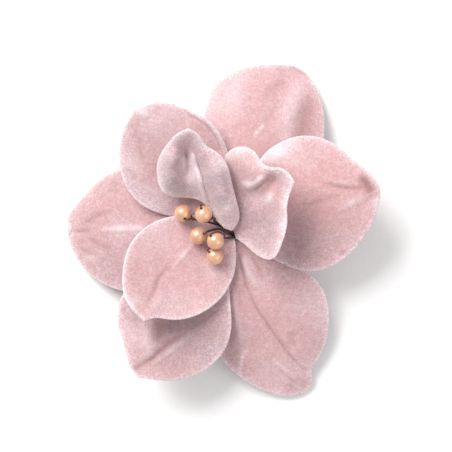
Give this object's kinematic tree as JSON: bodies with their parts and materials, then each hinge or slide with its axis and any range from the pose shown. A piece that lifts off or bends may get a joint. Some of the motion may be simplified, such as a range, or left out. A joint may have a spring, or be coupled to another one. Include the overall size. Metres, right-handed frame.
{
  "type": "flower hair clip",
  "caption": "Velvet flower with curled, overlapping petals and a spray of pearls on wire stems, backed with felt and carried on a sprung two-arm hair clip with toothed jaws.",
  "frame": {"origin": "middle of the object's footprint, on the surface that it lies on face up", "axes": "+Z out of the flower's face, +Y along the flower's greatest width, +X from the clip's mouth to its handles"},
  "size_m": [0.108, 0.1166, 0.0506],
  "materials": {
    "velvet_pink": "short-pile velvet, dusty pink",
    "velvet_mauve": "short-pile velvet, brushed, greyish mauve",
    "pearl": "pearl lacquer, peach gold",
    "stem_wire": "dark maroon lacquered craft wire",
    "thread": "waxed binding thread, dark maroon",
    "felt": "needled felt",
    "core_card": "stiffened buckram",
    "glue": "clear hot-melt glue",
    "clip_steel": "nickel plated",
    "pin_steel": "riveted over",
    "spring_steel": "drawn spring wire"
  },
  "bodies": {
    "flower": {"clip_upper_arm": "clip_steel", "core_disc": "core_card", "felt_back": "felt", "glue_plug": "glue", "hinge_pin": "pin_steel", "inner_petal_front": "velvet_pink", "inner_petal_left": "velvet_mauve", "inner_petal_right": "velvet_mauve", "middle_petal_lower_left": "velvet_mauve", "middle_petal_right": "velvet_pink", "middle_petal_upper_left": "velvet_pink", "outer_petal_left": "velvet_pink", "outer_petal_lower_right": "velvet_pink", "outer_petal_top": "velvet_pink", "pearl_1": "pearl", "pearl_2": "pearl", "pearl_3": "pearl", "pearl_4": "pearl", "pearl_5": "pearl", "stem_1": "stem_wire", "stem_2": "stem_wire", "stem_3": "stem_wire", "stem_4": "stem_wire", "stem_5": "stem_wire", "stem_binding": "thread", "torsion_spring": "spring_steel"},
    "lower_arm": {"clip_lower_arm": "clip_steel"}
  },
  "joints": [
    {"name": "jaw_hinge", "type": "hinge", "parent": "flower", "child": "lower_arm", "pos_m": [0.01599, -0.00102, 0.0088], "axis": [0, -1, 0], "range_deg": [0, 32], "stiffness_Nm_per_rad": 0.08, "springref_deg": -40.11, "deforming": ["torsion_spring"]}
  ]
}
